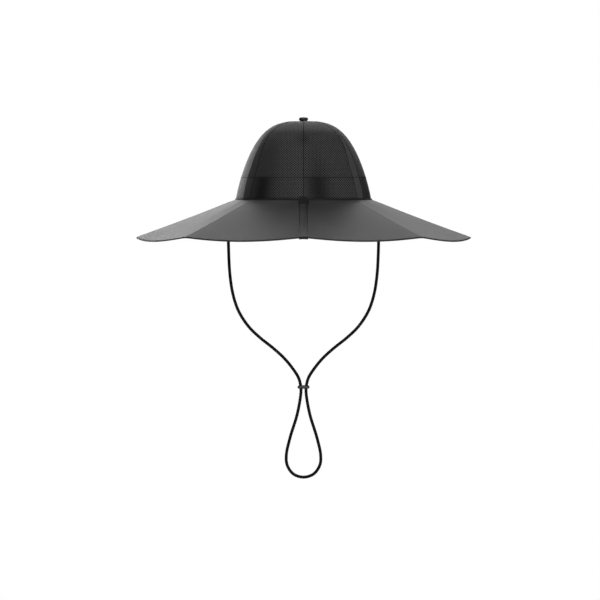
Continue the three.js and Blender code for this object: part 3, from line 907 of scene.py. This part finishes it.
def make_sweatband():
    """The band inside the foot, with a rolled top edge."""
    angles = full_turn(240)
    outside, inside = SWEATBAND_DEPTH, SWEATBAND_DEPTH + SWEATBAND_WALL
    heights = np.linspace(CROWN_FOOT, SWEATBAND_HEIGHT - 0.6 * MM, 12)
    top = SWEATBAND_HEIGHT - 0.1 * MM
    section = [
        *((height, outside) for height in heights),
        (top, outside + 0.35 * MM),
        (top, inside - 0.35 * MM),
        *((height, inside) for height in reversed(heights)),
    ]
    lines = [crown_point(angles, height, depth) for height, depth in section]
    piece = loft("sweatband_roll", np.stack(lines, 1), ring=True, sharp_deg=60)
    dress(piece, "sweatband", "sweatband", "sweatband")


# The button's head from its seat to its crest: shares of its half width and of its height
BUTTON_PROFILE = [
    (0.7, 0.0), (0.86, 0.14), (0.99, 0.34), (1.03, 0.52), (1.0, 0.7),
    (0.88, 0.84), (0.6, 0.94), (0.25, 0.99), (0.01, 1.0),
]
BUTTON_SIDES = 64
PLATE_WALL = 1 * MM
PLATE_CHAMFER = 0.3 * MM


def make_button():
    """A covered button: a domed head with a chamfered foot, its stem and the plate inside."""
    seat = CROWN_HEIGHT + 0.03 * MM
    plate_top = CROWN_HEIGHT - MESH_WALL - GAP
    plate_and_stem = [
        (0.05 * MM, plate_top - PLATE_WALL),
        (PLATE_RADIUS - PLATE_CHAMFER, plate_top - PLATE_WALL),
        (PLATE_RADIUS, plate_top - PLATE_WALL / 2),
        (PLATE_RADIUS - PLATE_CHAMFER, plate_top),
        (STEM_RADIUS, plate_top),
        (STEM_RADIUS, seat),
    ]
    head = smooth_line(BUTTON_PROFILE, 4) * (BUTTON_WIDTH / 2, BUTTON_HEIGHT + GAP) + (0, seat)
    radius, height = np.concatenate([plate_and_stem, head]).T[..., None]
    turn = full_turn(BUTTON_SIDES)
    rings = np.broadcast_arrays(radius * np.sin(turn), -radius * np.cos(turn), height)
    points = np.stack(rings, -1).reshape(-1, 3)
    walls = [tuple(quad) for quad in grid_faces(len(radius), BUTTON_SIDES, round_rows=True)]
    first = range(BUTTON_SIDES)
    last = range(len(points) - BUTTON_SIDES, len(points))
    faces = [*walls, tuple(reversed(first)), tuple(last)]
    uv = [points[corner][:2] for face in faces for corner in face]
    piece = make_mesh("button_cover", points, faces, uv, sharp_deg=40)
    dress(piece, "button", "button", "top_button")


for number in range(GORE_COUNT):
    make_net(Gore(number))
    make_backing(Gore(number))
    make_seam(number)
make_sweatband()
make_sweatband_seam()
make_button()


# The brim's shape
def crown_radius(direction, depth=0.0):
    """How far out the crown's foot lies in a direction, some depth below its outer face."""
    angle = np.arctan2(LENGTH_RATIO * np.sin(direction), np.cos(direction))
    foot = crown_point(angle, CROWN_FOOT, depth)
    return np.hypot(foot[..., 0], foot[..., 1])


def from_fold(direction):
    """0 on a fold of the brim and 1 in the middle of a facet."""
    turns = direction / FACET_ANGLE
    return 2 * np.abs(turns - np.round(turns))


def facet_share(direction):
    """The same as from_fold, rounded off over the fold and in the middle of the facet."""
    rounded = np.hypot(from_fold(direction), FOLD_SOFTNESS) - FOLD_SOFTNESS
    whole = math.hypot(1, FOLD_SOFTNESS) - FOLD_SOFTNESS
    return 1 - (1 - rounded / whole) ** 2


def hem_radius(direction):
    return HEM_RADIUS * (1 - FACET_DIP * facet_share(direction))


def brim_point(direction, radius, lift=0.0):
    """A point of the brim's top, or one that far above it. The direction turns from the front to +X."""
    direction, radius, lift = np.broadcast_arrays(direction, radius, lift)
    inner = crown_radius(direction, MESH_WALL)
    run = (radius - inner) / (hem_radius(direction) - inner)
    fall = HEM_DROP + FACET_SAG * facet_share(direction)
    height = -fall * run * (1 + BRIM_STEEPENING * (1 - run))
    return np.stack([radius * np.sin(direction), -radius * np.cos(direction), height + lift], -1)


def front_point(across, out, lift):
    """The same by how far it lies across the front fold and out from the middle."""
    return brim_point(np.arctan2(across, out), np.hypot(across, out), lift)


def brim_directions():
    """Directions round the hat, closer together at the folds than in the middle of a facet."""
    steps = np.sin(np.linspace(-1, 1, 40, endpoint=False) * math.pi / 2)
    facets = (np.arange(FACET_COUNT) + 0.5) * FACET_ANGLE
    return (facets[:, None] + steps * FACET_ANGLE / 2).ravel()


def make_brim():
    """One cover over all eight facets, with a panel's flatness between each two folds."""
    around = brim_directions()
    share = np.linspace(0, 1, 44)[:, None]
    inner = crown_radius(around, MESH_WALL)
    radius = inner + share * (hem_radius(around) - BRIM_HEM_ROOM - inner)
    off_fold = from_fold(around) * FACET_ANGLE / 2 * radius
    beside_strip = np.abs(np.sin(around / 2)) > FRONT_FOLD_SINE
    clear = beside_strip * np.minimum(1, np.minimum(share / RIDGE_START, (1 - share) / RIDGE_END))
    ridge = clear * np.exp(-((off_fold / RIDGE_WIDTH) ** 2))
    top = brim_point(around, radius, RIDGE_HEIGHT * ridge)
    # Painted shade by the crown's foot at the front
    beside = (np.sin(around) - FOOT_SHADE_MIDDLE) / FOOT_SHADE_SPREAD
    by_crown = np.exp(-((share / FOOT_SHADE_REACH) ** 4) - beside**2)
    # Painted light half way down the front; the fold attribute carries it with the ridges' painted
    # highlight
    painted_light = PAINTED_LIGHT * np.exp(-(((share - PAINTED_LIGHT_AT) / PAINTED_LIGHT_REACH) ** 2) - (np.sin(around) / PAINTED_LIGHT_SPREAD) ** 2)
    values = {"fold": np.maximum(RIDGE_HIGHLIGHT * ridge, painted_light), "shade": FOOT_SHADE * by_crown}
    faces = grid_faces(len(share), len(around), round_rows=True)
    bottom = top - (0, 0, BRIM_WALL - 0.1 * MM)
    piece = thicken("brim_cover", top, bottom, faces, top[..., :2], values=values)
    panels = sorted(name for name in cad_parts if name.startswith("brim_panel_"))
    dress(piece, "brim", "brim_cover", *panels)


# The hem's cross-section in millimetres: how far out from the brim's edge and how high above its top
HEM_SECTION_MM = [
    (-2.0, 0.02), (-1.2, 0.18), (-0.45, 0.1), (-0.05, -0.35), (0.0, -0.8),
    (-0.15, -1.25), (-0.6, -1.6), (-1.4, -1.68), (-2.0, -1.5), (-2.0, -0.8),
]
HEM_STITCH_INSET = 3.6 * MM
HEM_STITCH_DEPTH = 0.05 * MM
HEM_STITCHES_FROM = 0.62 * STRIP_WIDTH


def make_hem():
    """The rolled binding round the edge."""
    directions = brim_directions()
    edge = hem_radius(directions)
    lines = [brim_point(directions, edge + out * MM, lift * MM) for out, lift in HEM_SECTION_MM]
    piece = loft("hem_roll", np.stack(lines, 1), ring=True, sharp_deg=70)
    dress(piece, "hem", "binding", "hem_binding")


def make_hem_stitches():
    """The stitches that hold the hem's binding, on top of the brim and not on the strip."""
    directions = np.linspace(0, math.tau, 721)
    radius = hem_radius(directions) - HEM_STITCH_INSET
    line = brim_point(directions, radius, -HEM_STITCH_DEPTH)
    inward = brim_point(directions, radius - MM, -HEM_STITCH_DEPTH)
    outwards = unit(np.cross(line - inward, np.gradient(line, axis=0)))
    outwards = np.where(outwards[:, 2:] < 0, -outwards, outwards)
    rows = [(line, outwards)]
    make_stitches("stitches_hem", rows, HEM_STITCHES_MM, "brim", "binding", HEM_STITCHES_FROM)


def make_piping():
    """The round piping in the corner between the crown and the brim."""
    angles = full_turn(300)
    directions = np.arctan2(np.sin(angles), LENGTH_RATIO * np.cos(angles))
    half = PIPING_SIZE / 2
    middle = crown_radius(directions) + GAP + half
    lines = [
        brim_point(directions, middle + half * math.cos(turn), GAP + half * (1 + math.sin(turn)))
        for turn in full_turn(12)
    ]
    piece = loft("foot_piping", np.stack(lines, 1), ring=True, sharp_deg=0)
    dress(piece, "piping", "binding", "base_piping")


# The patch over the strip's upper end, row by row in millimetres: how far from the crown's foot and
# how high above the brim its outer face is, the same for its inner face, and half of its width
PATCH_ROWS_MM = [
    (0.5, 4.3, 0.1, 3.7, 4.0),
    (1.8, 4.7, 0.2, 2.2, 5.2),
    (3.4, 4.3, 1.7, 0.0, 6.1),
    (4.8, 2.2, 3.6, 0.0, 6.5),
    (9.0, 2.1, 9.0, 0.0, 6.4),
    (15.0, 1.9, 15.0, 0.0, 6.0),
]

# How far along the strip, in millimetres from the patch, and how much painted shade darkens it there
STRIP_SHADES = [(0, 0.85), (9, 0.84), (15, 0.68), (21, 0.42), (33, 0.14), (48, 0), (72, 0), (100, 0.08)]

# The strip's stitched grooves and its rounded edges, with places and widths as shares of half its
# own width, and how dark the painted shade beside them gets
GROOVE_DEPTH = 0.3 * MM
GROOVE_AT = 0.78
GROOVE_WIDTH = 0.06
EDGE_FALL = 0.55 * MM
EDGE_START = 0.93
EDGE_SHADE = 0.5


def make_strip():
    """Webbing over the front fold, with a stitched groove beside each edge."""
    start = float(crown_radius(0.0)) + PATCH_ROWS_MM[-1][0] * MM - STRIP_UNDER_PATCH
    outs = np.linspace(start, HEM_RADIUS - GAP, 60)[:, None]
    share = np.linspace(-1, 1, 25)
    groove = GROOVE_DEPTH * np.exp(-(((np.abs(share) - GROOVE_AT) / GROOVE_WIDTH) ** 2))
    top = STRIP_LIFT + STRIP_WALL - groove - EDGE_FALL * near_edge(share, EDGE_START) ** 2
    across = share * STRIP_WIDTH / 2
    upper = front_point(across, outs, top)
    lower = front_point(across, outs, STRIP_LIFT)
    # Painted shade below the patch and beside the grooves
    along = np.interp((outs - start) / MM, *zip(*STRIP_SHADES))
    shade = 1 - (1 - EDGE_SHADE * near_edge(share, 0.6, 0.8)) * (1 - along)
    values = {"shade": np.concatenate([shade, shade[:, ::-1]], 1)}
    sections = np.concatenate([upper, lower[:, ::-1]], 1)
    piece = loft("strip_webbing", sections, sharp_deg=50, values=values)
    dress(piece, "strip", "strip", "front_strip")


def make_patch():
    """The arched patch, whose sides slope down to its inner face."""
    foot = float(crown_radius(0.0))
    rows = smooth_line(np.array(PATCH_ROWS_MM) * MM, 6)[:, None]
    outer, inner, half_width = rows[..., :2], rows[..., 2:4], rows[..., 4]
    share = np.linspace(-1, 1, 17)

    def face(depths):
        """Points between the outer face, where a depth is 0, and the inner one, where it is 1."""
        place = outer + depths[:, None] * (inner - outer)
        return front_point(half_width * share, foot + place[..., 0], place[..., 1])

    sections = [face(0.7 * near_edge(share, 0.8) ** 2), face(np.ones_like(share))[:, ::-1]]
    piece = loft("strip_arch", np.concatenate(sections, 1), sharp_deg=60)
    dress(piece, "patch", "binding", "strip_patch")


def tab_point(across, out, lift):
    """A point of the end tab. Past the hem it goes on straight to the front."""
    point = front_point(across, min(out, HEM_RADIUS), lift)
    point[1] = min(point[1], -out)
    return point


def make_end_tab():
    """The tab that folds down over the hem at the strip's end and back under it."""
    fold = HEM_RADIUS + GAP
    under = -BRIM_WALL - 1.5 * GAP
    share = np.linspace(-1, 1, 17)
    sections = []
    for across, pinch in zip(share * TAB_WIDTH / 2, near_edge(share, 0.85) ** 2):
        wall = TAB_WALL * (1 - 0.45 * pinch)
        corners = [
            (fold, STRIP_WALL),
            (fold + 0.75 * wall, STRIP_WALL),
            (fold + wall, STRIP_WALL - 0.4 * MM),
            (fold + wall, under - 0.2 * wall),
            (fold + 0.6 * wall, under - 0.5 * wall),
            (HEM_RADIUS - TAB_REACH, under - 0.5 * wall),
            (HEM_RADIUS - TAB_REACH, under),
            (fold, under),
        ]
        sections.append([tab_point(across, out, lift) for out, lift in corners])
    piece = loft("end_tab_fold", sections, sharp_deg=40)
    dress(piece, "patch", "binding", "strip_end_tab")


def make_anchor(side):
    """The sewn tab under the brim that the cord's end comes out of."""
    middle = side * CORD_HALF_ROUTE_MM[0][0] * MM
    bottom = CORD_HALF_ROUTE_MM[0][1] * MM + GAP
    ring_x, ring_y = rounded_square(32, ANCHOR_POWER)
    shape_x = ring_x * ANCHOR_WALL / 2
    shape_y = ring_y * ANCHOR_WIDTH / 2
    x = middle + shape_x
    top = brim_point(np.arctan2(x, -shape_y), np.hypot(x, shape_y), -BRIM_WALL - 1.2 * GAP)
    sections = []
    for share in np.linspace(0, 1, 14):
        girth = 1 - ANCHOR_WAIST * math.sin(math.pi * share)
        girth -= ANCHOR_ROUNDING * (1 - min(1, share / 0.08)) ** 2
        height = bottom + share * (top[:, 2] - bottom)
        sections.append(np.stack([middle + girth * shape_x, girth * shape_y, height], -1))
    name = "right" if side > 0 else "left"
    piece = loft(f"cord_tab_{name}", sections, sharp_deg=60)
    dress(piece, "patch", "binding", f"cord_anchor_{name}")


make_brim()
make_hem()
make_hem_stitches()
make_piping()
make_strip()
make_patch()
make_end_tab()
for anchor_side in (-1, 1):
    make_anchor(anchor_side)


# The stage: a pale floor below the loop of the cord, white surroundings and soft lights
FLOOR_Z = -420 * MM
FLOOR_HALF_SIZE = 6.0
FLOOR_GLOW = 0.25


def make_floor():
    sides = [(-1, -1), (1, -1), (1, 1), (-1, 1)]
    corners = [(x * FLOOR_HALF_SIZE, y * FLOOR_HALF_SIZE, FLOOR_Z) for x, y in sides]
    floor = make_mesh("floor", corners, [(0, 1, 2, 3)])
    material, tree, shader = blank_material("floor_paint", 0.9, 0.2)
    colour = blend(tree, noise(tree, 3.0, 2.0), grey(0.86), grey(0.9))
    tree.links.new(colour, shader.inputs["Base Color"])
    shader.inputs["Emission Color"].default_value = WHITE
    shader.inputs["Emission Strength"].default_value = FLOOR_GLOW
    floor.data.materials.append(material)


# The softboxes: where each stands, its width and height in metres, and its power. All face the hat.
LIGHTS_AIM = Vector((0, 0, 20 * MM))
SOFTBOXES = {
    "key_left": ((-1.0, 1.8, 0.25), 0.8, 0.6, 12),
    "back_high": ((0.0, 1.8, 1.4), 2.0, 0.8, 13),
    "back_low_left": ((-0.8, 2.2, 0.6), 1.2, 0.6, 7.9),
    "back_low_right": ((0.6, 2.2, 0.6), 1.2, 0.6, 3.1),
    "side_right": ((2.0, -0.6, 0.5), 0.7, 0.9, 4.6),
    "overhead": ((-0.3, 0.0, 1.8), 1.2, 1.2, 9.8),
    "front": ((0.2, -2.4, 0.5), 0.5, 0.8, 26),
}
AMBIENT_LIGHT = 0.02


def add_softbox(name, place, width, height, power):
    light = bpy.data.lights.new(name, "AREA")
    light.shape = "RECTANGLE"
    light.size = width
    light.size_y = height
    light.energy = power
    box = add_object(name, light)
    box.location = place
    box.rotation_euler = (LIGHTS_AIM - Vector(place)).to_track_quat("-Z", "Y").to_euler()
    box.visible_camera = False


def make_world():
    """White surroundings for the camera, which give the hat a dimmer light all round."""
    world = bpy.data.worlds.new("white_room")
    bpy.context.scene.world = world
    world.use_nodes = True
    tree = world.node_tree
    tree.nodes.clear()
    dim = node(tree, "ShaderNodeBackground", {"Color": WHITE, "Strength": AMBIENT_LIGHT})
    white = node(tree, "ShaderNodeBackground", {"Color": WHITE, "Strength": 1.0})
    seen = node(tree, "ShaderNodeLightPath").outputs["Is Camera Ray"]
    both = node(tree, "ShaderNodeMixShader", {0: seen, 1: dim.outputs[0], 2: white.outputs[0]})
    node(tree, "ShaderNodeOutputWorld", {"Surface": both.outputs[0]})


make_floor()
make_world()
for box_name, box_values in SOFTBOXES.items():
    add_softbox(box_name, *box_values)
bpy.context.scene.view_settings.view_transform = "Standard"
